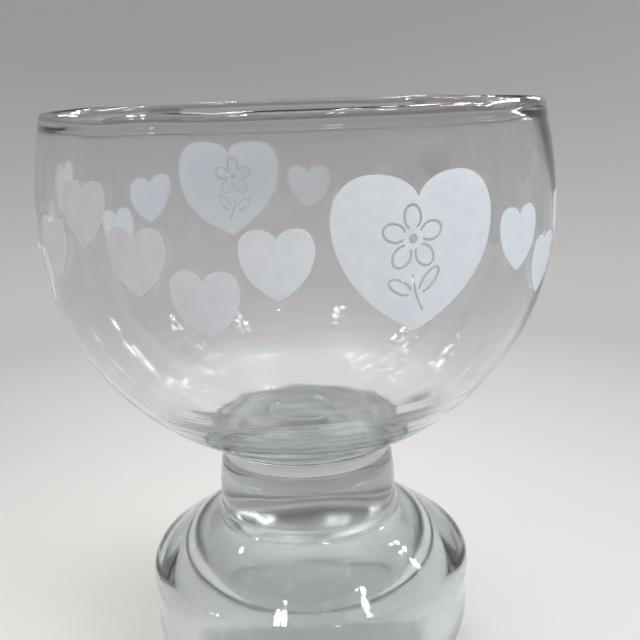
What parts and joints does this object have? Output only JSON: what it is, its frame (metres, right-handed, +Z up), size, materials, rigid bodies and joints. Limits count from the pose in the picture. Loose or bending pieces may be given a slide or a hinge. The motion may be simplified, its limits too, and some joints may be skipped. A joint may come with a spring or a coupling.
{
  "type": "dessert glass",
  "caption": "Footed dessert glass: round clear bowl on a short thick neck and heavy hollow foot, with a band of white printed hearts; holds ice cream or fruit.",
  "frame": {"origin": "centre of the flat ring under the foot, on the surface that the glass stands on", "axes": "+Z up along the glass's axis of turning, -Y towards the side that the picture shows, +X to its right"},
  "size_m": [0.1058, 0.106, 0.125],
  "materials": {
    "bowl_glass": "clear, fire-polished, neutral",
    "foot_glass": "clear, pressed, faintly green where thick",
    "white_enamel": "thin fired white enamel print, satin, slightly see-through"
  },
  "bodies": {
    "root": {"bowl": "bowl_glass", "foot": "foot_glass", "heart_large_1": "white_enamel", "heart_large_2": "white_enamel", "heart_small_01": "white_enamel", "heart_small_02": "white_enamel", "heart_small_03": "white_enamel", "heart_small_04": "white_enamel", "heart_small_05": "white_enamel", "heart_small_06": "white_enamel", "heart_small_07": "white_enamel", "heart_small_08": "white_enamel", "heart_small_09": "white_enamel", "heart_small_10": "white_enamel", "heart_small_11": "white_enamel", "heart_small_12": "white_enamel", "heart_small_13": "white_enamel", "heart_small_14": "white_enamel", "heart_small_15": "white_enamel", "heart_small_16": "white_enamel", "heart_small_17": "white_enamel", "heart_small_18": "white_enamel", "heart_small_19": "white_enamel", "heart_small_20": "white_enamel", "heart_small_21": "white_enamel", "heart_small_22": "white_enamel"}
  },
  "joints": []
}
